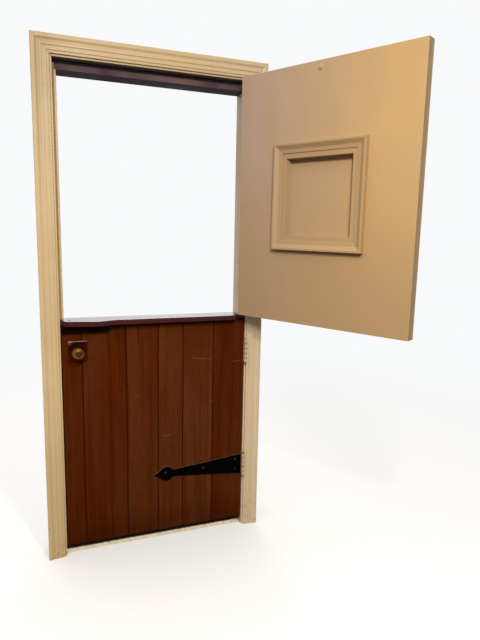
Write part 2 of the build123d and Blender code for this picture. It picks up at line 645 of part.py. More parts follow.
# Viewer: a small painted-over boss near the top of the outer face
viewer = rod(VIEWER_R, (0, 0, 0), (0, 0, 1), VIEWER_T)
viewer = chamfer(viewer.edges().group_by(Axis.Z)[-1], VIEWER_BEVEL)
viewer += rod(VIEWER_EYE_R, (0, 0, 0), (0, 0, 1), VIEWER_EYE_T)
upper["viewer"] = Plane((VIEWER_X, LEAF_OUT_Y, UPPER_LEAF_TOP - VIEWER_DROP), z_dir=(0, 1, 0)) * viewer

# Barrel bolt: a plate with two guides on the room side, and a rod that drops into the shelf
knob_travel = BOLT_THROW + 2 * (BOLT_KNOB_R + BOLT_KNOB_SPARE)
plate_low = UPPER_LEAF_BOTTOM + BOLT_PLATE_RISE
plate_high = plate_low + 2 * BOLT_GUIDE_H + knob_travel
bolt_plate = block(
    (BOLT_X - BOLT_PLATE_W / 2, BOLT_X + BOLT_PLATE_W / 2),
    (ROOM_Y - BOLT_PLATE_T, ROOM_Y),
    (plate_low, plate_high),
)
for guide_low in (plate_low, plate_high - BOLT_GUIDE_H):
    bolt_plate += rod(BOLT_GUIDE_R, (BOLT_X, BOLT_Y, guide_low), (0, 0, 1), BOLT_GUIDE_H)
    bolt_plate += block((BOLT_X - BOLT_GUIDE_R, BOLT_X + BOLT_GUIDE_R), (BOLT_Y, ROOM_Y),
                        (guide_low, guide_low + BOLT_GUIDE_H))
upper["bolt_plate"] = bolt_plate - rod(
    BOLT_R + BOLT_PLAY, (BOLT_X, BOLT_Y, plate_low), (0, 0, 1), plate_high - plate_low)
bolt_low = UPPER_LEAF_BOTTOM + BOLT_RAISED
bolt_rod = rod(BOLT_R, (BOLT_X, BOLT_Y, bolt_low), (0, 0, 1), plate_high + BOLT_THROW - bolt_low)
knob_z = plate_high - BOLT_GUIDE_H - BOLT_KNOB_SPARE - BOLT_KNOB_R
bolt_rod += rod(BOLT_KNOB_R, (BOLT_X, BOLT_Y, knob_z), (0, -1, 0), BOLT_R + BOLT_KNOB_L)
upper["bolt_rod"] = bolt_rod

for name, shape in upper.items():
    parts[name] = shape.rotate(PIN_AXIS, UPPER_OPEN_ANGLE)

os.makedirs("parts", exist_ok=True)
for name, shape in parts.items():
    solids = shape if isinstance(shape, list) else [shape]
    export_step(Compound(children=[solid for item in solids for solid in item.solids()]), f"parts/{name}.step")
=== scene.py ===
import json
from math import pi, radians

import bmesh
import bpy
from mathutils import Matrix, Vector


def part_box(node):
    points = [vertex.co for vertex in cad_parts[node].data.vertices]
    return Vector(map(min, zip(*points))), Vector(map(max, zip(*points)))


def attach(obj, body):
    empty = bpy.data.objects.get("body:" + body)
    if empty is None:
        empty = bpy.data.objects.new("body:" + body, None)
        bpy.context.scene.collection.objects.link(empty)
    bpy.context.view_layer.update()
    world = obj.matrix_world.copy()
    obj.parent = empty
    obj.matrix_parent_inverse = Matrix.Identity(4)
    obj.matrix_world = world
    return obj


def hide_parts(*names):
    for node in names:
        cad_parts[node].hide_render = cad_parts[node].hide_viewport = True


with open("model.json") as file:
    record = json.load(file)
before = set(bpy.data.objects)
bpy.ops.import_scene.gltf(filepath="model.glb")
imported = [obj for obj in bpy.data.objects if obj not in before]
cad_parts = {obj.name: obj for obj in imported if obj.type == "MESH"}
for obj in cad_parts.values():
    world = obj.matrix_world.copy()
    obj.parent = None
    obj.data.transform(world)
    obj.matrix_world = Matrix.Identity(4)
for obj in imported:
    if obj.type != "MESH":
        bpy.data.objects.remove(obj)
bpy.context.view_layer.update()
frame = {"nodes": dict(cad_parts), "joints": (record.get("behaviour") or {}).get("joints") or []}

nodes = frame["nodes"]

# The studio: a pale floor that fades into a white surround, with a small lamp near the ceiling, a broad one
# in the room, one behind the door and soft light from all round. The camera stands where the photograph
# was taken from.
SURROUND = (0.94, 0.95, 0.96, 1)
FLOOR_SHOWN = (0.74, 0.72, 0.69, 1)
FLOOR_BOUNCE = (0.075, 0.032, 0.024, 1)
FLOOR_SIZE = 60.0
FLOOR_NEAR = 1.2
FLOOR_FAR = 4.5
FLOOR_FADE_START = 0.25
FLOOR_ROUGHNESS = 0.7
# Soft light: its colour, its strength low down and above, the look heights between which it rises, and the
# share that is left of it towards the right, with the look directions between which it falls.
AMBIENT_COLOUR = (0.98, 0.99, 1.0, 1)
AMBIENT_LEVEL = 0.07
AMBIENT_ABOVE = 1.75
AMBIENT_RISE = (0.1, 0.85)
AMBIENT_RIGHT = 0.45
AMBIENT_FALL = (-0.3, 0.8)
CAMERA_PLACE = (-0.52443, -2.38562, 1.43263)
CAMERA_TURN = (80.627, -1.217, -21.109)
CAMERA_LENS = 30.785
CAMERA_SENSOR = 36


def add(tree, kind, sockets=None, **settings):
    """A shader node with its settings made, and its sockets filled by a value or by another socket."""
    made = tree.nodes.new(kind)
    for name, value in settings.items():
        setattr(made, name, value)
    for name, value in (sockets or {}).items():
        if isinstance(value, bpy.types.NodeSocket):
            tree.links.new(value, made.inputs[name])
        else:
            made.inputs[name].default_value = value
    return made


def calculate(tree, operation, first, second=0.0, third=0.0, clamp=False):
    return add(tree, "ShaderNodeMath", {0: first, 1: second, 2: third}, operation=operation,
               use_clamp=clamp).outputs[0]


def total(tree, *masks):
    """The sum of some masks, at most one."""
    whole = masks[0]
    for mask in masks[1:]:
        whole = calculate(tree, "ADD", whole, mask, clamp=True)
    return whole


def between(tree, value, low, high, start=0.0, end=1.0):
    """Goes smoothly from start to end as value goes from low to high."""
    made = add(tree, "ShaderNodeMapRange", {"Value": value, "From Min": low, "From Max": high,
                                            "To Min": start, "To Max": end}, interpolation_type="SMOOTHSTEP")
    return made.outputs["Result"]


def mix(tree, factor, first, second):
    made = add(tree, "ShaderNodeMix", {"Factor": factor}, data_type="RGBA")
    for socket, value in ((made.inputs[6], first), (made.inputs[7], second)):
        if isinstance(value, bpy.types.NodeSocket):
            tree.links.new(value, socket)
        else:
            socket.default_value = value
    return made.outputs[2]


def camera_sees(tree):
    """One where a camera, glossy or transmission ray looks, and nothing for the rest."""
    path = add(tree, "ShaderNodeLightPath")
    return total(tree, path.outputs["Is Camera Ray"], path.outputs["Is Glossy Ray"],
                 path.outputs["Is Transmission Ray"])


world = bpy.data.worlds.new("surround")
bpy.context.scene.world = world
world.use_nodes = True
world.node_tree.nodes.clear()
tree = world.node_tree
direction = add(tree, "ShaderNodeTexCoord").outputs["Generated"]
looked = add(tree, "ShaderNodeSeparateXYZ", {0: direction}).outputs
height_share = between(tree, looked["Z"], *AMBIENT_RISE, AMBIENT_LEVEL, AMBIENT_ABOVE)
side_share = between(tree, looked["X"], *AMBIENT_FALL, 1.0, AMBIENT_RIGHT)
strength = calculate(tree, "MULTIPLY", height_share, side_share)
lit = add(tree, "ShaderNodeBackground", {"Color": AMBIENT_COLOUR, "Strength": strength})
shown = add(tree, "ShaderNodeBackground", {"Color": SURROUND})
mixed = add(tree, "ShaderNodeMixShader", {0: camera_sees(tree), 1: lit.outputs[0], 2: shown.outputs[0]})
add(tree, "ShaderNodeOutputWorld", {"Surface": mixed.outputs[0]})

shape = bmesh.new()
bmesh.ops.create_grid(shape, x_segments=1, y_segments=1, size=FLOOR_SIZE / 2)
floor_mesh = bpy.data.meshes.new("floor")
shape.to_mesh(floor_mesh)
shape.free()
floor = bpy.data.objects.new("floor", floor_mesh)
bpy.context.scene.collection.objects.link(floor)

floor_finish = bpy.data.materials.new("pale_floor")
floor_finish.use_nodes = True
tree = floor_finish.node_tree
place = add(tree, "ShaderNodeTexCoord").outputs["Object"]
distance = add(tree, "ShaderNodeVectorMath", {0: place}, operation="LENGTH")
far = between(tree, distance.outputs["Value"], FLOOR_NEAR, FLOOR_FAR, FLOOR_FADE_START, 1.0)
glow = add(tree, "ShaderNodeEmission", {"Color": SURROUND})
tree.links.new(mix(tree, camera_sees(tree), FLOOR_BOUNCE, FLOOR_SHOWN),
               tree.nodes["Principled BSDF"].inputs["Base Color"])
tree.nodes["Principled BSDF"].inputs["Roughness"].default_value = FLOOR_ROUGHNESS
mixed = add(tree, "ShaderNodeMixShader", {
    0: calculate(tree, "MULTIPLY", far, camera_sees(tree)),
    1: tree.nodes["Principled BSDF"].outputs[0],
    2: glow.outputs[0],
})
tree.links.new(mixed.outputs[0], tree.nodes["Material Output"].inputs["Surface"])
floor.data.materials.append(floor_finish)

camera_data = bpy.data.cameras.new("camera")
camera_data.sensor_width = CAMERA_SENSOR
camera_data.lens = CAMERA_LENS
camera = bpy.data.objects.new("camera", camera_data)
camera.location = CAMERA_PLACE
camera.rotation_euler = [radians(angle) for angle in CAMERA_TURN]
bpy.context.scene.collection.objects.link(camera)
bpy.context.scene.camera = camera
bpy.context.scene.view_settings.view_transform = "Standard"


def lamp(name, place, aim, radius, power, colour):
    """A round lamp that shines from its place towards aim."""
    data = bpy.data.lights.new(name, "AREA")
    data.energy = power
    data.color = colour
    data.shape = "DISK"
    data.size = 2 * radius
    made = bpy.data.objects.new(name, data)
    made.location = place
    made.rotation_euler = (Vector(aim) - Vector(place)).to_track_quat("-Z", "Y").to_euler()
    bpy.context.scene.collection.objects.link(made)


DOOR_MIDDLE = (0.1, 0.0, 1.05)
# Each lamp's name, place, aim, radius, power in watts and colour.
LAMPS = (
    ("ceiling_lamp", (0.0, -1.8, 2.25), (0.05, -0.9, 0.4), 0.06, 19, (1.0, 0.90, 0.76)),
    ("room_light", (-0.9, -3.8, 3.0), DOOR_MIDDLE, 0.45, 98, (1.0, 0.97, 0.93)),
    ("behind", (0.8, 2.9, 2.6), DOOR_MIDDLE, 0.8, 26, (0.94, 0.97, 1.0)),
)
for settings in LAMPS:
    lamp(*settings)


# Painted timber of the frame: jambs, side stops, room casing and brick moulding, in cream gloss paint
# laid on with a brush along each length, with a little dirt low down and in the mouldings. The cream also
# holds painted light: paler and cooler to the right, warmer low down on the left, and painted shade high
# up, most on the left. The mitres show as hairlines, and the head's underside was left in the old brown.
TRIM_CREAM = (0.58, 0.435, 0.243, 1)
TRIM_SHADE = (0.52, 0.380, 0.200, 1)
TRIM_HIGH_SHADE = (0.37, 0.265, 0.128, 1)
TRIM_WARM_BOUNCE = (0.53, 0.375, 0.175, 1)
TRIM_COOL_LIGHT = (0.60, 0.475, 0.305, 1)
TRIM_GRIME = (0.20, 0.13, 0.07, 1)
# Where the cream takes painted cool light, painted warm bounce light and painted shade high up, and where
# it is dirty, in metres across the door and up it.
COOL_LIGHT_ACROSS = (0.0, 0.45)
WARM_BOUNCE_ACROSS = (0.0, 0.3)
WARM_BOUNCE_UP = (0.2, 0.9)
HIGH_SHADE_ACROSS = (-0.44, -0.36)
HIGH_SHADE_UP = (1.3, 2.05)
DIRT_UP = (0.0, 0.30)
HEAD_BROWN = (0.115, 0.082, 0.085, 1)
TRIM_HEAD = ("casing_head", "brickmould_head")
TRIM_LEGS = ("casing_left", "casing_right", "jamb_left", "jamb_right", "stop_left", "stop_right",
             "brickmould_left", "brickmould_right")
MITRE_GAP = 0.0006
JOINT_GAP = 0.0011
FACE_SPARE = 0.0002
ROOM_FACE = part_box("jamb_left")[0][1]
CASING_CORNER = (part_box("casing_right")[0][0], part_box("casing_head")[0][2])


def new_finish(name):
    material = bpy.data.materials.new(name)
    material.use_nodes = True
    return material, material.node_tree, material.node_tree.nodes["Principled BSDF"]


def mapped(tree, vector, scale=(1, 1, 1), turn=(0, 0, 0), shift=(0, 0, 0)):
    return add(tree, "ShaderNodeMapping", {"Vector": vector, "Scale": scale, "Rotation": turn,
                                           "Location": shift}).outputs[0]


def noise(tree, vector, scale, detail=3.0, roughness=0.5):
    return add(tree, "ShaderNodeTexNoise", {"Vector": vector, "Scale": scale, "Detail": detail,
                                            "Roughness": roughness}).outputs["Fac"]


def edges(tree, radius, low, high):
    """One on the edges of a piece and nothing on its faces, from how much a rounded edge would turn."""
    rounded = add(tree, "ShaderNodeBevel", {"Radius": radius}, samples=6)
    true = add(tree, "ShaderNodeNewGeometry")
    turned = add(tree, "ShaderNodeVectorMath", {0: rounded.outputs[0], 1: true.outputs["Normal"]},
                 operation="DOT_PRODUCT")
    return between(tree, turned.outputs["Value"], high, low)


def relief(tree, heights, radius=0.0008):
    """A normal from (height, distance) pairs over softly rounded edges."""
    normal = add(tree, "ShaderNodeBevel", {"Radius": radius}, samples=4).outputs[0]
    for height, depth in heights:
        bump = add(tree, "ShaderNodeBump", {"Height": height, "Distance": depth, "Normal": normal})
        normal = bump.outputs[0]
    return normal


def brushed_paint(name, colour, shade, grime, along, roughness, under=None, gloss=0.3):
    """Brushed oil paint. along is the axis that the brush ran in, and under the colour of what faces down."""
    material, tree, shader = new_finish(name)
    place = add(tree, "ShaderNodeTexCoord").outputs["Object"]
    stroke_scale = [260.0, 260.0, 260.0]
    stroke_scale["XYZ".index(along)] = 7.0
    strokes = noise(tree, mapped(tree, place, stroke_scale), 1.0, 4.0, 0.6)
    patches = noise(tree, place, 3.1, 4.0, 0.55)
    spots = noise(tree, place, 46.0, 2.0, 0.5)
    axes = add(tree, "ShaderNodeSeparateXYZ", {0: place}).outputs
    low_down = between(tree, axes["Z"], *DIRT_UP, 0.6, 0.0)
    toned = mix(tree, between(tree, patches, 0.35, 0.68), colour, shade)
    toned = mix(tree, calculate(tree, "MULTIPLY", between(tree, strokes, 0.45, 0.8), 0.08), toned, shade)
    if colour == TRIM_CREAM:
        # Painted light: cooler to the right, warm bounce low on the left, painted shade high up on the left.
        toned = mix(tree, between(tree, axes["X"], *COOL_LIGHT_ACROSS, 0.0, 0.8), toned, TRIM_COOL_LIGHT)
        warm_bounce = calculate(tree, "MULTIPLY", between(tree, axes["Z"], *WARM_BOUNCE_UP, 0.8, 0.0),
                         between(tree, axes["X"], *WARM_BOUNCE_ACROSS, 1.0, 0.0))
        toned = mix(tree, warm_bounce, toned, TRIM_WARM_BOUNCE)
        aged = calculate(tree, "MULTIPLY", between(tree, axes["Z"], *HIGH_SHADE_UP),
                         between(tree, axes["X"], *HIGH_SHADE_ACROSS, 0.85, 0.45))
        toned = mix(tree, aged, toned, TRIM_HIGH_SHADE)
    out = calculate(tree, "SUBTRACT", calculate(tree, "ABSOLUTE", axes["X"]), CASING_CORNER[0])
    up = calculate(tree, "SUBTRACT", axes["Z"], CASING_CORNER[1])
    mitre = calculate(tree, "MULTIPLY", calculate(tree, "COMPARE", out, up, MITRE_GAP),
                      calculate(tree, "GREATER_THAN", up, 0.0))
    joint = calculate(tree, "COMPARE", calculate(tree, "MAXIMUM", out, up), 0.0, JOINT_GAP)
    in_front = calculate(tree, "LESS_THAN", axes["Y"], ROOM_FACE + FACE_SPARE)
    joint = calculate(tree, "MULTIPLY", joint, between(tree, up, -0.06, 0.0, 0.45, 1.0))
    crack = calculate(tree, "MULTIPLY", total(tree, calculate(tree, "MULTIPLY", mitre, 0.3), joint), in_front)
    crack = calculate(tree, "MULTIPLY", crack, between(tree, spots, 0.3, 0.6, 0.35, 0.75))
    dirt = calculate(tree, "MULTIPLY", between(tree, spots, 0.52, 0.78), low_down)
    worn = calculate(tree, "MULTIPLY", edges(tree, 0.002, 0.80, 0.97),
                     between(tree, spots, 0.40, 0.65, 0.0, 0.06))
    toned = mix(tree, total(tree, dirt, worn, crack), toned, grime)
    # What faces down takes under: painted shade on the head stop, the old brown on the head jamb.
    if under:
        facing = add(tree, "ShaderNodeSeparateXYZ", {0: add(tree, "ShaderNodeNewGeometry").outputs["Normal"]})
        toned = mix(tree, between(tree, facing.outputs["Z"], -0.6, -0.4, 1.0, 0.0), toned, under)
    tree.links.new(toned, shader.inputs["Base Color"])
    tree.links.new(between(tree, patches, 0.3, 0.7, roughness - 0.06, roughness + 0.1),
                   shader.inputs["Roughness"])
    shader.inputs["Specular IOR Level"].default_value = gloss
    tree.links.new(relief(tree, [(strokes, 0.00018), (spots, 0.0002)]), shader.inputs["Normal"])
    return material


def dress(names, material):
    for name in names:
        nodes[name].data.materials.clear()
        nodes[name].data.materials.append(material)


dress(TRIM_HEAD, brushed_paint("trim_paint_level", TRIM_CREAM, TRIM_SHADE, TRIM_GRIME, "X", 0.34))
dress(TRIM_LEGS, brushed_paint("trim_paint_upright", TRIM_CREAM, TRIM_SHADE, TRIM_GRIME, "Z", 0.34))
dress(["jamb_head"],
      brushed_paint("trim_paint_head", TRIM_CREAM, TRIM_SHADE, TRIM_GRIME, "X", 0.4, HEAD_BROWN))

# Head stop: a deeper timber stop, fixed under the head jamb, that the upper leaf closes against. It is still
# in an old brown paint that the cream never covered, and its underside is painted darker as painted shade.
HEAD_STOP_BROWN = (0.140, 0.092, 0.086, 1)
HEAD_STOP_DARK_AND_SHADE = (0.050, 0.038, 0.050, 1)
HEAD_STOP_GRIME = (0.02, 0.015, 0.012, 1)
dress(["stop_head"], brushed_paint("head_stop_paint", HEAD_STOP_BROWN, HEAD_STOP_DARK_AND_SHADE, HEAD_STOP_GRIME,
                                   "X", 0.6, HEAD_STOP_DARK_AND_SHADE, 0.03))

# Sill: one timber, with cream paint on its front, near-black painted shadow with dirt in the corner under the
# leaf, and paint worn through to grey wood at its ends and where the weather reaches it.
SILL_CREAM = (0.86, 0.77, 0.54, 1)
SILL_SHADE = (0.72, 0.60, 0.37, 1)
SILL_WOOD = (0.24, 0.20, 0.16, 1)
SILL_WOOD_DARK = (0.12, 0.095, 0.075, 1)
SILL_SHADOW_AND_DIRT = (0.010, 0.007, 0.004, 1)
SILL_END = (0.33, 0.41)
SILL_OUTDOORS = (0.0, 0.05)
SHADOW_DIRT_FROM = 0.0175
SHADOW_DIRT_RISE = 0.0035
SHADOW_DIRT_DEEP = (-0.014, 0.004)


def worn_sill_paint():
    material, tree, shader = new_finish("sill_paint")
    place = add(tree, "ShaderNodeTexCoord").outputs["Object"]
    axes = add(tree, "ShaderNodeSeparateXYZ", {0: place}).outputs
    grain = noise(tree, mapped(tree, place, (6, 240, 240)), 1.0, 5.0, 0.65)
    patches = noise(tree, mapped(tree, place, (7, 30, 30)), 1.0, 6.0, 0.62)
    blotches = noise(tree, place, 60.0, 3.0, 0.6)
    painted = mix(tree, between(tree, blotches, 0.35, 0.7), SILL_CREAM, SILL_SHADE)
    bare = mix(tree, between(tree, grain, 0.35, 0.7), SILL_WOOD, SILL_WOOD_DARK)
    to_end = between(tree, calculate(tree, "ABSOLUTE", axes["X"]), *SILL_END, 0.0, 0.14)
    outdoors = between(tree, axes["Y"], *SILL_OUTDOORS, 0.0, 0.06)
    rubbed = calculate(tree, "MULTIPLY", edges(tree, 0.003, 0.75, 0.96), 0.2)
    wear = between(tree, total(tree, patches, rubbed, to_end, outdoors), 0.66, 0.72)
    height = calculate(tree, "ADD", axes["Z"], calculate(tree, "MULTIPLY", blotches, 0.004))
    # Painted shadow with dirt on the sill's front, above a height, under the leaf's foot.
    shadowed_and_dirty = calculate(tree, "MULTIPLY", between(tree, height, SHADOW_DIRT_FROM, SHADOW_DIRT_FROM + SHADOW_DIRT_RISE),
                       between(tree, axes["Y"], *SHADOW_DIRT_DEEP, 0.995, 0.3))
    toned = mix(tree, shadowed_and_dirty, mix(tree, wear, painted, bare), SILL_SHADOW_AND_DIRT)
    tree.links.new(toned, shader.inputs["Base Color"])
    tree.links.new(between(tree, wear, 0.0, 1.0, 0.4, 0.75), shader.inputs["Roughness"])
    step = calculate(tree, "SUBTRACT", 1.0, wear)
    tree.links.new(relief(tree, [(step, 0.0004), (grain, 0.0003)]), shader.inputs["Normal"])
    return material


dress(["sill"], worn_sill_paint())

# Weatherstrip: a soft rubber seal in the corner in front of the stops, pushed in at the head and both sides.
# It is bare and dusty across the head, and painted over with the trim down the sides.
RUBBER_DARK = (0.018, 0.017, 0.027, 1)
RUBBER_DUST = (0.050, 0.045, 0.058, 1)
SIDE_SEAL_TAN = (0.34, 0.235, 0.12, 1)
SIDE_SEAL_TOP = 2.0585


def dusty_rubber(name, side_colour=None):
    material, tree, shader = new_finish(name)
    place = add(tree, "ShaderNodeTexCoord").outputs["Object"]
    dust = noise(tree, place, 38.0, 5.0, 0.6)
    ribs = add(tree, "ShaderNodeTexWave", {"Vector": place, "Scale": 90.0, "Distortion": 0.4},
               bands_direction="Y")
    toned = mix(tree, between(tree, dust, 0.45, 0.75), RUBBER_DARK, RUBBER_DUST)
    if side_colour:
        height = add(tree, "ShaderNodeSeparateXYZ", {0: place}).outputs["Z"]
        toned = mix(tree, calculate(tree, "LESS_THAN", height, SIDE_SEAL_TOP), toned, side_colour)
    tree.links.new(toned, shader.inputs["Base Color"])
    shader.inputs["Roughness"].default_value = 0.7
    shader.inputs["Specular IOR Level"].default_value = 0.06
    tree.links.new(relief(tree, [(ribs.outputs["Fac"], 0.0002), (dust, 0.0002)]), shader.inputs["Normal"])
    return material


dress(["weatherstrip"], dusty_rubber("seal_rubber", SIDE_SEAL_TAN))

# Leaf paint: flat beige over both leaves' outer side and the light's trim, rolled on, so it has a fine
# orange-peel surface. It is warmer towards the free edge as painted lamplight and cooler towards the hinge
# as painted daylight, with painted shade low down, on the free end face and over all the light's trim. The
# upper leaf's pattern is turned back to where the leaf is shut.
LEAF_LAMPLIT_BEIGE = (0.46, 0.293, 0.120, 1)
LEAF_DAYLIT_BEIGE = (0.39, 0.282, 0.215, 1)
LEAF_SHADE = (0.36, 0.240, 0.125, 1)
LEAF_LOW_SHADE = (0.33, 0.210, 0.100, 1)
LEAF_END_SHADE = (0.27, 0.172, 0.075, 1)
LEAF_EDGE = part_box("lower_board_6")[1][0]
LEAF_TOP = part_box("upper_rail_top")[1][2]
LEAF_WORN = (0.68, 0.52, 0.34, 1)
LAMPLIT_TO_DAYLIT = (-0.30, 0.36)
LOW_SHADE_UP = (1.15, 1.95)
PAINT_WRAP = (0.0002, 0.0008)
WORN_FROM = 0.004
WORN_FULL = 0.003
upper_hinge = next(joint for joint in frame["joints"] if joint["name"] == "upper_hinge")
PIN = Vector(upper_hinge["pos_m"])
OPEN_ANGLE = -radians(upper_hinge["range_deg"][0])
OPEN_TURN = Matrix.Translation(PIN) @ Matrix.Rotation(OPEN_ANGLE, 4, "Z") @ Matrix.Translation(-PIN)


def shut_place(tree):
    """Object coordinates of the upper leaf as if it stood shut."""
    back = Matrix.Rotation(-OPEN_ANGLE, 3, "Z")
    shift = PIN - back @ PIN
    place = add(tree, "ShaderNodeTexCoord").outputs["Object"]
    return mapped(tree, place, turn=(0, 0, -OPEN_ANGLE), shift=shift)


def rolled_paint(name, coords=None, shade_above=0.0):
    material, tree, shader = new_finish(name)
    place = coords(tree) if coords else add(tree, "ShaderNodeTexCoord").outputs["Object"]
    peel = noise(tree, place, 520.0, 3.0, 0.5)
    passes = noise(tree, mapped(tree, place, (9, 9, 1.2)), 1.0, 4.0, 0.5)
    clouds = noise(tree, place, 1.9, 3.0, 0.5)
    axes = add(tree, "ShaderNodeSeparateXYZ", {0: place}).outputs
    # Painted light: warmer towards the free edge as lamplight, cooler towards the hinge as daylight.
    toned = mix(tree, between(tree, axes["X"], *LAMPLIT_TO_DAYLIT), LEAF_LAMPLIT_BEIGE, LEAF_DAYLIT_BEIGE)
    toned = mix(tree, between(tree, clouds, 0.3, 0.7, 0.0, 0.5), toned, LEAF_SHADE)
    toned = mix(tree, between(tree, passes, 0.4, 0.75, 0.0, 0.3), toned, LEAF_SHADE)
    # Painted shade: darker low down, and darker over all the light's trim.
    toned = mix(tree, between(tree, axes["Z"], *LOW_SHADE_UP, 0.7, shade_above), toned, LEAF_LOW_SHADE)
    # Painted shade on the leaf's free end face.
    end = between(tree, axes["X"], PAINT_WRAP[0] - LEAF_EDGE, PAINT_WRAP[1] - LEAF_EDGE, 1.0, 0.0)
    toned = mix(tree, end, toned, LEAF_END_SHADE)
    out = calculate(tree, "ABSOLUTE", axes["X"])
    outline = total(tree, between(tree, out, LEAF_EDGE - WORN_FROM, LEAF_EDGE - WORN_FULL),
                    between(tree, axes["Z"], LEAF_TOP - WORN_FROM, LEAF_TOP - WORN_FULL))
    rim = calculate(tree, "MULTIPLY", edges(tree, 0.003, 0.8, 0.98), outline)
    worn = calculate(tree, "MULTIPLY", rim, 0.6)
    tree.links.new(mix(tree, worn, toned, LEAF_WORN), shader.inputs["Base Color"])
    shader.inputs["Roughness"].default_value = 0.5
    shader.inputs["Specular IOR Level"].default_value = 0.25
    tree.links.new(relief(tree, [(peel, 0.00012), (passes, 0.0005)]), shader.inputs["Normal"])
    return material


dress(["lower_slab"], rolled_paint("leaf_paint_lower"))
dress(["upper_stile_hinge", "upper_stile_lock", "upper_rail_top", "upper_rail_bottom", "light_panel",
       "viewer"], rolled_paint("leaf_paint_upper", shut_place))
dress(["light_trim_top", "light_trim_bottom", "light_trim_left", "light_trim_right"],
      rolled_paint("leaf_paint_trim", shut_place, 0.8))

# Boards of both leaves: tongue-and-groove softwood with a red-brown stain under satin varnish. Each board
# is cut from another length, so each has its own grain and tone. The grooves are darker as painted shade and
# the boards' feet are darker, the leaf paint runs over the boards' outer edges in a darker beige that is
# partly painted shade, a near-black band under the shelf is painted shadow with some dirt, and a lost strap
# has left scratches.
STAIN = (0.067, 0.0100, 0.0004, 1)
STAIN_LIGHT = (0.119, 0.037, 0.0110, 1)
STAIN_DARK = (0.026, 0.0040, 0.0006, 1)
STAIN_SHADOW_AND_DIRT = (0.004, 0.0012, 0.0010, 1)
SHELF_SHADOW_HEIGHT = (0.980, 0.994)
SHELF_SHADOW_LINE = (1.015, 1.023)
SHELF_SHADOW_SIDE = (-0.24, -0.18)
SCRATCH = (0.30, 0.19, 0.12, 1)
BOARD_TONES = (0.0, 0.0, 0.35, 0.65, 0.65, 0.0)
BOARD_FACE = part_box("lower_board_2")[0][1]
FOOT_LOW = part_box("lower_board_2")[0][2]
SCRATCH_HALF = 0.0006
PAINTED_FOOT = (1.0565, 1.0555)
GRAIN_SWAY = 0.06
VARNISH_TINT = (1.0, 0.4, 0.12, 1)
# Scratches on the lower leaf: where each starts in X and Z, and how long it is and rises.
SCRATCHES = ((0.152, 0.857, 0.087, -0.013), (0.345, 0.826, 0.046, 0.002), (0.238, 0.640, 0.030, 0.004),
             (-0.110, 0.705, 0.024, -0.006), (0.020, 0.500, 0.036, 0.003))


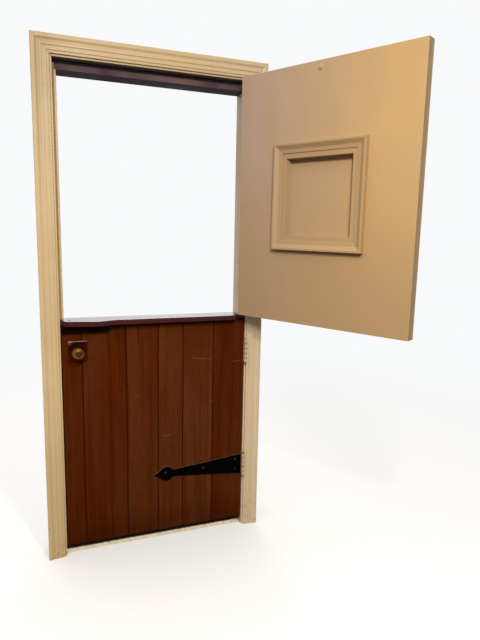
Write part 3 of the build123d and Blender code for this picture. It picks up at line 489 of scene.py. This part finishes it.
def stained_wood(name, shift, tone, coords=None):
    material, tree, shader = new_finish(name)
    place = coords(tree) if coords else add(tree, "ShaderNodeTexCoord").outputs["Object"]
    axes = add(tree, "ShaderNodeSeparateXYZ", {0: place}).outputs
    own = mapped(tree, place, shift=(shift * 1.37, shift * 0.71, shift * 2.93))
    sway = noise(tree, mapped(tree, own, (3, 3, 0.9)), 1.0, 2.0, 0.5)
    sideways = add(tree, "ShaderNodeCombineXYZ", {0: calculate(tree, "MULTIPLY", sway, GRAIN_SWAY)})
    bent = add(tree, "ShaderNodeVectorMath", {0: own, 1: sideways.outputs[0]}, operation="ADD").outputs[0]
    rings = noise(tree, mapped(tree, bent, (46, 46, 0.9)), 1.0, 4.0, 0.6)
    fibre = noise(tree, mapped(tree, bent, (330, 330, 6.0)), 1.0, 4.0, 0.65)
    pores = noise(tree, mapped(tree, bent, (900, 900, 26.0)), 1.0, 2.0, 0.6)
    broad = noise(tree, mapped(tree, own, (5, 5, 1.1)), 1.0, 3.0, 0.5)
    colour = mix(tree, between(tree, broad, 0.3, 0.7, tone * 0.4, tone * 0.4 + 0.4), STAIN, STAIN_LIGHT)
    colour = mix(tree, between(tree, rings, 0.45, 0.72, 0.0, 0.5), colour, STAIN_DARK)
    colour = mix(tree, between(tree, fibre, 0.5, 0.72, 0.0, 0.4), colour, STAIN_LIGHT)
    colour = mix(tree, between(tree, pores, 0.56, 0.68, 0.0, 0.7), colour, STAIN_DARK)
    # Painted shade in the grooves.
    groove = between(tree, axes["Y"], BOARD_FACE + 0.0006, BOARD_FACE + 0.0022)
    colour = mix(tree, calculate(tree, "MULTIPLY", groove, 0.8), colour, STAIN_DARK)
    if coords:
        # The leaf paint over the upper boards' outer edges and feet, in a darker beige that is partly painted
        # shade.
        out = calculate(tree, "ABSOLUTE", axes["X"])
        edge = between(tree, out, LEAF_EDGE - PAINT_WRAP[1], LEAF_EDGE - PAINT_WRAP[0])
        end = between(tree, axes["Z"], *PAINTED_FOOT)
        colour = mix(tree, total(tree, edge, end), colour, LEAF_SHADE)
    else:
        foot = between(tree, axes["Z"], FOOT_LOW + 0.01, FOOT_LOW + 0.16, 0.45, 0.0)
        # Painted shadow of the shelf, with some dirt: near-black under its wide end, and a thin line just
        # under it.
        shelf_shadow_and_dirt = calculate(tree, "MULTIPLY", between(tree, axes["Z"], *SHELF_SHADOW_HEIGHT, 0.0, 0.93),
                         between(tree, axes["X"], *SHELF_SHADOW_SIDE, 1.0, 0.0))
        shelf_shadow_and_dirt = calculate(tree, "MAXIMUM", shelf_shadow_and_dirt, between(tree, axes["Z"], *SHELF_SHADOW_LINE, 0.0, 0.75))
        colour = mix(tree, foot, colour, STAIN_DARK)
        colour = mix(tree, shelf_shadow_and_dirt, colour, STAIN_SHADOW_AND_DIRT)
        worn_through = noise(tree, place, 300.0, 2.0, 0.5)
        for start_x, start_z, length, rise in SCRATCHES:
            along = calculate(tree, "SUBTRACT", axes["X"], start_x)
            line = calculate(tree, "MULTIPLY_ADD", along, rise / length, start_z)
            near = calculate(tree, "COMPARE", axes["Z"], line, SCRATCH_HALF)
            inside = calculate(tree, "COMPARE", along, length / 2, length / 2)
            mark = calculate(tree, "MULTIPLY", calculate(tree, "MULTIPLY", near, inside),
                             between(tree, worn_through, 0.35, 0.6, 0.1, 0.75))
            colour = mix(tree, mark, colour, SCRATCH)
    tree.links.new(colour, shader.inputs["Base Color"])
    tree.links.new(between(tree, fibre, 0.3, 0.7, 0.34, 0.5), shader.inputs["Roughness"])
    shader.inputs["Specular IOR Level"].default_value = 0.03
    shader.inputs["Specular Tint"].default_value = VARNISH_TINT
    tree.links.new(relief(tree, [(pores, 0.0002), (fibre, 0.00025)]), shader.inputs["Normal"])
    return material


for number, tone in enumerate(BOARD_TONES, 1):
    dress([f"lower_board_{number}"], stained_wood(f"stained_board_lower_{number}", number, tone))
    dress([f"upper_board_{number}"],
          stained_wood(f"stained_board_upper_{number}", number + len(BOARD_TONES), tone, shut_place))

# Shelf: one board across the lower leaf, in a darker red stain under gloss varnish, which shows pale
# daylight on top and rubbed spots along its front.
SHELF_RED = (0.040, 0.0090, 0.0105, 1)
SHELF_WARM = (0.105, 0.024, 0.018, 1)
SHELF_RUBBED = (0.17, 0.085, 0.06, 1)
SHELF_TINT = (0.72, 0.88, 1.0, 1)
SHELF_COAT_ROUGHNESS = 0.1
SHELF_COAT_IOR = 2.4


def varnished_shelf():
    material, tree, shader = new_finish("shelf_wood")
    place = add(tree, "ShaderNodeTexCoord").outputs["Object"]
    fibre = noise(tree, mapped(tree, place, (5, 210, 210)), 1.0, 5.0, 0.6)
    scuffs = noise(tree, mapped(tree, place, (30, 60, 60)), 1.0, 5.0, 0.7)
    normal = add(tree, "ShaderNodeNewGeometry").outputs["Normal"]
    up = add(tree, "ShaderNodeSeparateXYZ", {0: normal}).outputs["Z"]
    colour = mix(tree, between(tree, fibre, 0.4, 0.7, 0.0, 0.6), SHELF_RED, SHELF_WARM)
    rubbed = calculate(tree, "MULTIPLY", edges(tree, 0.004, 0.7, 0.95),
                       between(tree, scuffs, 0.5, 0.7, 0.0, 0.5))
    tree.links.new(mix(tree, rubbed, colour, SHELF_RUBBED), shader.inputs["Base Color"])
    tree.links.new(between(tree, scuffs, 0.4, 0.75, 0.12, 0.3), shader.inputs["Roughness"])
    shader.inputs["Specular IOR Level"].default_value = 0.06
    shader.inputs["Specular Tint"].default_value = SHELF_TINT
    tree.links.new(between(tree, up, 0.8, 0.98), shader.inputs["Coat Weight"])
    shader.inputs["Coat Roughness"].default_value = SHELF_COAT_ROUGHNESS
    shader.inputs["Coat IOR"].default_value = SHELF_COAT_IOR
    tree.links.new(relief(tree, [(fibre, 0.00006)]), shader.inputs["Normal"])
    return material


dress(["shelf"], varnished_shelf())

# Strap and its nails: black-painted forged iron with a hammered face and brown worn edges, lighter along the
# upper edge as painted light from above, held to the boards by four domed nails. The barrel bolt on the
# upper leaf has the same finish.
MM = 0.001
MERGE_DISTANCE = 0.00001


def facing(point, direction):
    """Where a shape that stands on Z goes, so that it stands on point and looks along direction."""
    turn = Vector((0, 0, 1)).rotation_difference(Vector(direction))
    return Matrix.Translation(point) @ turn.to_matrix().to_4x4()


def turned(profile, steps=28):
    """A shape turned about Z from (radius, height) points in millimetres, with UVs from -1 to 1 across it."""
    shape = bmesh.new()
    points = [shape.verts.new((radius * MM, 0, height * MM)) for radius, height in profile]
    line = [shape.edges.new(pair) for pair in zip(points, points[1:])]
    bmesh.ops.spin(shape, geom=points + line, cent=(0, 0, 0), axis=(0, 0, 1), angle=2 * pi, steps=steps,
                   use_merge=True)
    bmesh.ops.remove_doubles(shape, verts=shape.verts, dist=MERGE_DISTANCE)
    bmesh.ops.recalc_face_normals(shape, faces=shape.faces)
    widest = max(radius for radius, height in profile) * MM
    across = shape.loops.layers.uv.new("across")
    for face in shape.faces:
        face.smooth = True
        for loop in face.loops:
            loop[across].uv = (loop.vert.co.x / widest, loop.vert.co.y / widest)
    return shape


def repeated(shape, places):
    """One shape that holds a copy of another at each place."""
    single = bpy.data.meshes.new("single")
    shape.to_mesh(single)
    shape.free()
    whole = bmesh.new()
    for place in places:
        copy = single.copy()
        copy.transform(place)
        whole.from_mesh(copy)
    return whole


def piece(name, shape, material, body, slot, *replaced):
    """Makes a shape a piece of the object, which rides on a body and may stand for CAD nodes."""
    mesh = bpy.data.meshes.new(name)
    shape.to_mesh(mesh)
    shape.free()
    mesh.materials.append(material)
    made = bpy.data.objects.new(name, mesh)
    bpy.context.scene.collection.objects.link(made)
    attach(made, body)
    if replaced:
        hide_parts(*replaced)
    return made


IRON_BLACK = (0.0012, 0.0012, 0.0014, 1)
IRON_WORN_AND_LIT = (0.30, 0.145, 0.090, 1)
IRON_TINT = (0.7, 0.85, 1.0, 1)
NAIL_SHINE = 0.12
LIT_SIDE_BAND = 0.002
# The strap's upper outline from its tip, and its nails, in millimetres from the middle of its wide end.
STRAP_OUTLINE = ((-428, 0), (-414.5, 7.5), (-400.5, 17.5), (-386, 28), (-371.5, 34.5), (-361, 35.5),
                 (-348, 30), (-336.5, 19), (-324, 18), (-220, 28), (-110, 39.2), (0, 50.5))
NAIL_SPOTS = ((-369.5, 4.0), (-190.5, 2.5), (-31.0, 25.5), (-31.0, -23.0))
STRAP_SAG = 2.0
STRAP_T = 4.0
strap_low, strap_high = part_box("strap")
strap_end = Vector((strap_high[0], strap_high[1], (strap_low[2] + strap_high[2]) / 2 - STRAP_SAG * MM))
STRAP_BEVEL = 1.3
NAIL_PROFILE = ((0, -0.5), (6.4, -0.5), (6.4, 0), (6.2, 1.1), (5.3, 2.4), (3.7, 3.5), (1.8, 4.0), (0, 4.1))


def black_iron(name, coords=None, shine=0.004):
    material, tree, shader = new_finish(name)
    place = coords(tree) if coords else add(tree, "ShaderNodeTexCoord").outputs["Object"]
    dents = add(tree, "ShaderNodeTexVoronoi", {"Vector": place, "Scale": 110.0}, feature="SMOOTH_F1")
    pits = noise(tree, place, 420.0, 3.0, 0.6)
    rub = noise(tree, place, 70.0, 4.0, 0.6)
    height = add(tree, "ShaderNodeSeparateXYZ", {0: place}).outputs["Z"]
    # Painted light: the brown wear is strongest along the upper half, as if lit from above.
    upper = between(tree, height, strap_end.z - LIT_SIDE_BAND, strap_end.z + LIT_SIDE_BAND, 0.15, 1.0)
    bare = calculate(tree, "MULTIPLY", edges(tree, 0.0045, 0.80, 0.99),
                     between(tree, rub, 0.30, 0.5, 0.5, 1.0))
    worn_and_lit = calculate(tree, "MULTIPLY", bare, upper)
    tree.links.new(mix(tree, worn_and_lit, IRON_BLACK, IRON_WORN_AND_LIT), shader.inputs["Base Color"])
    tree.links.new(between(tree, pits, 0.3, 0.7, 0.34, 0.5), shader.inputs["Roughness"])
    shader.inputs["Specular IOR Level"].default_value = shine
    shader.inputs["Specular Tint"].default_value = IRON_TINT
    tree.links.new(relief(tree, [(dents.outputs["Distance"], 0.0012), (pits, 0.00015)]),
                   shader.inputs["Normal"])
    return material


outline = [Vector((along * MM, 0, up * MM)) for along, up in STRAP_OUTLINE]
outline += [Vector((point.x, 0, -point.z)) for point in reversed(outline[1:])]
shape = bmesh.new()
back = shape.faces.new([shape.verts.new(strap_end + point) for point in outline])
front = bmesh.ops.extrude_face_region(shape, geom=[back])["geom"]
front_face = next(part for part in front if isinstance(part, bmesh.types.BMFace))
bmesh.ops.translate(shape, verts=front_face.verts, vec=(0, -STRAP_T * MM, 0))
bmesh.ops.bevel(shape, geom=list(front_face.edges), offset=STRAP_BEVEL * MM, segments=2, profile=0.5,
                affect="EDGES", clamp_overlap=True, material=-1)
bmesh.ops.recalc_face_normals(shape, faces=shape.faces)
piece("forged_strap", shape, black_iron("black_iron_strap"), "lower_leaf", "black_iron", "strap")

nail_places = [facing(strap_end + Vector((along * MM, -STRAP_T * MM, up * MM)), (0, -1, 0))
               for along, up in NAIL_SPOTS]
piece("domed_nails", repeated(turned(NAIL_PROFILE), nail_places),
      black_iron("black_iron_nails", shine=NAIL_SHINE), "lower_leaf", "black_iron", "strap_nails")

dress(["bolt_plate", "bolt_rod"], black_iron("black_iron_upper", shut_place))

# Door sweep: an extruded strip of dusty rubber, fixed under the lower leaf along its whole width, with three
# fins that brush the sill. Its section is in millimetres from its outer upper corner.
SWEEP_COMB = ((0, 0), (-24, 0), (-24, -12), (-22, -12.3), (-20.5, -4), (-15, -4), (-13.5, -12.3),
              (-11.5, -12.3), (-10, -4), (-4.5, -4), (-3, -12.3), (0, -12))
sweep_low, sweep_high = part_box("door_sweep")
shape = bmesh.new()
comb = shape.faces.new([shape.verts.new((sweep_low[0], sweep_high[1] + y * MM, sweep_high[2] + z * MM))
                        for y, z in SWEEP_COMB])
pushed = bmesh.ops.extrude_face_region(shape, geom=[comb])["geom"]
bmesh.ops.translate(shape, verts=[part for part in pushed if isinstance(part, bmesh.types.BMVert)],
                    vec=(sweep_high[0] - sweep_low[0], 0, 0))
bmesh.ops.recalc_face_normals(shape, faces=shape.faces)
piece("finned_sweep", shape, dusty_rubber("sweep_rubber"), "lower_leaf", "seal_rubber", "door_sweep")

# Knobs, plates and latch: brass, dull and brown with age and rubbed brighter on what hands touch. The
# knob plates have a painted highlight along the top edge and near an upper corner. The knobs are turned,
# with a collar, a ball and a ringed face.
BRASS_RUBBED = (0.222, 0.108, 0.018, 1)
BRASS_HIGHLIGHT = (0.80, 0.60, 0.42, 1)
BRASS_AGED = (0.029, 0.0042, 0.0003, 1)
KNOB_PROFILE = ((0, 0), (9.0, 0), (9.0, 5.2), (12.4, 5.4), (12.9, 6.6), (12.2, 8.2), (9.4, 9.2), (8.4, 13),
                (8.8, 17.5), (12, 22), (19.5, 26.6), (24.6, 32), (27.5, 38.5), (28.2, 45), (27.4, 51.5),
                (24.8, 57.6), (20.9, 62.4), (17.4, 65.0), (16.3, 65.3), (15.7, 64.7), (15.1, 65.2),
                (14.3, 66.0), (9.5, 66.7), (0, 66.9))
KNOB_STEPS = 48
PATINA_SPREAD = 0.35
KNOB_RING = (0.42, 0.60)


def aged_brass(name, rubbed_share, roughness, ringed=False, top=None):
    material, tree, shader = new_finish(name)
    place = add(tree, "ShaderNodeTexCoord").outputs["Object"]
    patina = noise(tree, place, 55.0, 5.0, 0.6)
    specks = noise(tree, place, 500.0, 3.0, 0.6)
    rubbed = calculate(tree, "MULTIPLY", edges(tree, 0.0015, 0.7, 0.95), 0.6)
    handled = between(tree, patina, 0.35, 0.75, rubbed_share, rubbed_share - PATINA_SPREAD)
    bright = calculate(tree, "ADD", handled, rubbed)
    if ringed:
        uv = add(tree, "ShaderNodeTexCoord").outputs["UV"]
        out = add(tree, "ShaderNodeVectorMath", {0: uv}, operation="LENGTH").outputs["Value"]
        bright = calculate(tree, "MULTIPLY", bright, between(tree, out, *KNOB_RING, 0.25, 1.0))
    toned = mix(tree, bright, BRASS_AGED, BRASS_RUBBED)
    # Painted highlight: a bright band along the top edge and a spot near the given corner.
    if top:
        height = add(tree, "ShaderNodeSeparateXYZ", {0: place}).outputs["Z"]
        from_corner = add(tree, "ShaderNodeVectorMath", {0: place, 1: top}, operation="DISTANCE")
        highlight = total(tree, between(tree, height, top[2] - 0.0032, top[2] - 0.0014, 0.0, 0.24),
                       between(tree, from_corner.outputs["Value"], 0.006, 0.018, 0.10, 0.0))
        highlight = calculate(tree, "MULTIPLY", highlight, between(tree, patina, 0.3, 0.5, 0.4, 1.0))
        toned = mix(tree, highlight, toned, BRASS_HIGHLIGHT)
    tree.links.new(toned, shader.inputs["Base Color"])
    tree.links.new(between(tree, specks, 0.3, 0.7, roughness - 0.06, roughness + 0.08),
                   shader.inputs["Roughness"])
    shader.inputs["Metallic"].default_value = 1.0
    tree.links.new(relief(tree, [(patina, 0.0002), (specks, 0.00005)]), shader.inputs["Normal"])
    return material


knob_brass = aged_brass("aged_brass_knob", 0.8, 0.32, ringed=True)
for name, node, direction in (("turned_knob_inside", "knob_inside", -1),
                              ("turned_knob_outside", "knob_outside", 1)):
    low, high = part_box(node)
    foot = Vector(((low[0] + high[0]) / 2, high[1] if direction < 0 else low[1], (low[2] + high[2]) / 2))
    knob = repeated(turned(KNOB_PROFILE, KNOB_STEPS), [facing(foot, (0, direction, 0))])
    piece(name, knob, knob_brass, "knob_set", "aged_brass", node)
plate_low, plate_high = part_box("knob_plate_inside")
plate_highlight_corner = (plate_low[0] + 0.004, plate_low[1], plate_high[2])
plate_brass = aged_brass("aged_brass_plate", 0.02, 0.42, top=plate_highlight_corner)
latch_brass = aged_brass("latch_brass", 0.9, 0.3)
dress(["knob_plate_inside", "knob_plate_outside"], plate_brass)
dress(["strike_plate", "latch_case", "latch_bolt"], latch_brass)

# Screws: heads with a cross recess, oval on the knob plates and nearly flush on the strike, the latch
# faceplate and the hinges, where a leaf closes over them. Each takes the finish of what it holds.
SCREW_PROFILE = ((0, -0.3), (1.0, -0.3), (1.0, 0.05), (0.93, 0.30), (0.70, 0.48), (0.35, 0.58), (0, 0.6))
FLUSH = 0.15
RECESS_ARM = 0.13
RECESS_REACH = 0.6
RECESS_SHADE = (0.008, 0.006, 0.005, 1)
SCREW_STEPS = 16
SCREW_R = 3.6
PLATE_INSET = 12
PLATE_FIELD = 3
LATCH_INSET = 8


def recessed(material, name):
    """A finish with a cross recess painted dark, as painted shade, over the UVs of a screw's head."""
    made = material.copy()
    made.name = name
    tree = made.node_tree
    shader = tree.nodes["Principled BSDF"]
    uv = add(tree, "ShaderNodeTexCoord").outputs["UV"]
    axes = add(tree, "ShaderNodeSeparateXYZ", {0: uv}).outputs
    across, up = (calculate(tree, "ABSOLUTE", axes[axis]) for axis in "XY")
    arm = calculate(tree, "LESS_THAN", calculate(tree, "MINIMUM", across, up), RECESS_ARM)
    reach = calculate(tree, "LESS_THAN", calculate(tree, "MAXIMUM", across, up), RECESS_REACH)
    cross = calculate(tree, "MULTIPLY", arm, reach)
    colour = shader.inputs["Base Color"].links[0].from_socket
    tree.links.new(mix(tree, calculate(tree, "MULTIPLY", cross, 0.9), colour, RECESS_SHADE),
                   shader.inputs["Base Color"])
    return made


def screws(name, places, direction, radius, material, body, slot, rise=1.0, turn=None):
    profile = [(share * radius, height * radius * (rise if height > 0 else 1))
               for share, height in SCREW_PROFILE]
    spots = [(turn or Matrix()) @ facing(place, direction) for place in places]
    return piece(name, repeated(turned(profile, SCREW_STEPS), spots), material, body, slot)


plate_screw = recessed(plate_brass, "plate_screw_brass")
for name, node, direction in (("plate_screws_inside", "knob_plate_inside", -1),
                              ("plate_screws_outside", "knob_plate_outside", 1)):
    low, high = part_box(node)
    field = (high[1] - PLATE_FIELD * MM) if direction < 0 else (low[1] + PLATE_FIELD * MM)
    places = [(x, field, z) for x in (low[0] + PLATE_INSET * MM, high[0] - PLATE_INSET * MM)
              for z in (low[2] + PLATE_INSET * MM, high[2] - PLATE_INSET * MM)]
    screws(name, places, (0, direction, 0), SCREW_R, plate_screw, "lower_leaf", "aged_brass")

latch_screw = recessed(latch_brass, "latch_screw_brass")
for name, node, side, body in (("strike_screws", "strike_plate", 1, "frame"),
                               ("latch_screws", "latch_case", 0, "lower_leaf")):
    low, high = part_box(node)
    middle_y = (low[1] + high[1]) / 2
    places = [(high[0] if side else low[0], middle_y, z)
              for z in (low[2] + LATCH_INSET * MM, high[2] - LATCH_INSET * MM)]
    screws(name, places, (1 if side else -1, 0, 0), SCREW_R, latch_screw, body, "latch_brass", FLUSH)

# Hinges: steel butts, painted over in cream with the frame and chipped. Dark lines at the knuckle joints and
# ends stand partly for cracked paint with dirt and partly for painted shade in the gaps.
HINGE_CREAM = (0.48, 0.36, 0.22, 1)
HINGE_RUST_AND_SHADE = (0.030, 0.019, 0.012, 1)
HINGE_HALF = 0.057
KNUCKLE_L = 0.0228
KNUCKLE_BACK = (0.006, 0.008)
HINGE_SCREW_R = 3.4
HINGE_HEIGHTS = [sum(corner[2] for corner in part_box(f"jamb_hinge_leaf_{number}")) / 2
                 for number in range(1, 5)]
HINGE_LEAF_SCREWS = ((-0.0215, -0.042), (-0.011, -0.014), (-0.0215, 0.014), (-0.011, 0.042))


def hinge_paint(name, coords=None):
    material, tree, shader = new_finish(name)
    place = coords(tree) if coords else add(tree, "ShaderNodeTexCoord").outputs["Object"]
    chips = noise(tree, place, 95.0, 5.0, 0.65)
    edge = edges(tree, 0.0030, 0.75, 0.98)
    axes = add(tree, "ShaderNodeSeparateXYZ", {0: place}).outputs
    height = axes["Z"]
    uneven = between(tree, noise(tree, place, 60.0, 2.0), 0.42, 0.58, 0.0, 1.4)
    cracked = 0.0
    # Dark lines at each hinge's knuckle joints and ends: cracked paint and painted shade in the gaps.
    for middle in HINGE_HEIGHTS:
        along = calculate(tree, "ABSOLUTE", calculate(tree, "SUBTRACT", height, middle))
        into = calculate(tree, "MODULO", calculate(tree, "ADD", along, 0.5 * KNUCKLE_L), KNUCKLE_L)
        left = calculate(tree, "SUBTRACT", KNUCKLE_L, into)
        near_joint = between(tree, calculate(tree, "MINIMUM", into, left), 0.001, 0.003, 0.20, 0.0)
        near_end = between(tree, along, HINGE_HALF - 0.004, HINGE_HALF - 0.001, 0.0, 0.35)
        here = calculate(tree, "LESS_THAN", along, HINGE_HALF + 0.01)
        cracked = calculate(tree, "MULTIPLY_ADD", here, total(tree, near_joint, near_end), cracked)
    cracked = calculate(tree, "MULTIPLY", calculate(tree, "MULTIPLY", cracked, uneven),
                        between(tree, axes["Y"], PIN.y + KNUCKLE_BACK[0], PIN.y + KNUCKLE_BACK[1], 1.0, 0.0))
    chipped = between(tree, total(tree, chips, calculate(tree, "MULTIPLY", edge, 0.20), cracked), 0.60, 0.67)
    tree.links.new(mix(tree, chipped, HINGE_CREAM, HINGE_RUST_AND_SHADE), shader.inputs["Base Color"])
    tree.links.new(between(tree, chipped, 0.0, 1.0, 0.36, 0.6), shader.inputs["Roughness"])
    painted = calculate(tree, "SUBTRACT", 1.0, chipped)
    tree.links.new(relief(tree, [(painted, 0.0003)]), shader.inputs["Normal"])
    return material


frame_hinge_paint = hinge_paint("hinge_paint_frame")
upper_hinge_paint = hinge_paint("hinge_paint_upper", shut_place)
dress([name for name in nodes if name.startswith(("jamb_hinge_leaf", "lower_hinge_leaf"))] + ["hinge_pins"],
      frame_hinge_paint)
dress(["upper_hinge_leaf_1", "upper_hinge_leaf_2"], upper_hinge_paint)

frame_hinge_screw = recessed(frame_hinge_paint, "hinge_screw_frame")
upper_hinge_screw = recessed(upper_hinge_paint, "hinge_screw_upper")
jamb_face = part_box("jamb_right")[0][0]
jamb_places = []
leaf_places = {"lower_leaf": [], "upper_leaf": []}
for number in range(1, 5):
    low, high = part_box(f"jamb_hinge_leaf_{number}")
    middle = (low[2] + high[2]) / 2
    body = "lower_leaf" if number < 3 else "upper_leaf"
    for back_y, rise in HINGE_LEAF_SCREWS:
        jamb_places.append((jamb_face, high[1] + back_y, middle + rise))
        leaf_places[body].append((LEAF_EDGE, high[1] + back_y, middle + rise))
screws("jamb_hinge_screws", jamb_places, (-1, 0, 0), HINGE_SCREW_R, frame_hinge_screw, "frame",
       "hinge_paint", FLUSH)
screws("lower_hinge_screws", leaf_places["lower_leaf"], (1, 0, 0), HINGE_SCREW_R, frame_hinge_screw,
       "lower_leaf", "hinge_paint", FLUSH)
screws("upper_hinge_screws", leaf_places["upper_leaf"], (1, 0, 0), HINGE_SCREW_R, upper_hinge_screw,
       "upper_leaf", "hinge_paint", FLUSH, OPEN_TURN)

# Spindle: a plain square bar of bare drawn steel that runs through the leaf and joins both knobs. It shows
# fine lines along its length.
STEEL_DARK = (0.40, 0.39, 0.37, 1)
STEEL_LIGHT = (0.52, 0.51, 0.49, 1)
steel, tree, shader = new_finish("plain_steel")
place = add(tree, "ShaderNodeTexCoord").outputs["Object"]
drawn = noise(tree, mapped(tree, place, (900, 12, 900)), 1.0, 3.0, 0.5)
tree.links.new(mix(tree, drawn, STEEL_DARK, STEEL_LIGHT), shader.inputs["Base Color"])
tree.links.new(between(tree, drawn, 0.3, 0.7, 0.3, 0.45), shader.inputs["Roughness"])
shader.inputs["Metallic"].default_value = 1.0
dress(["spindle"], steel)
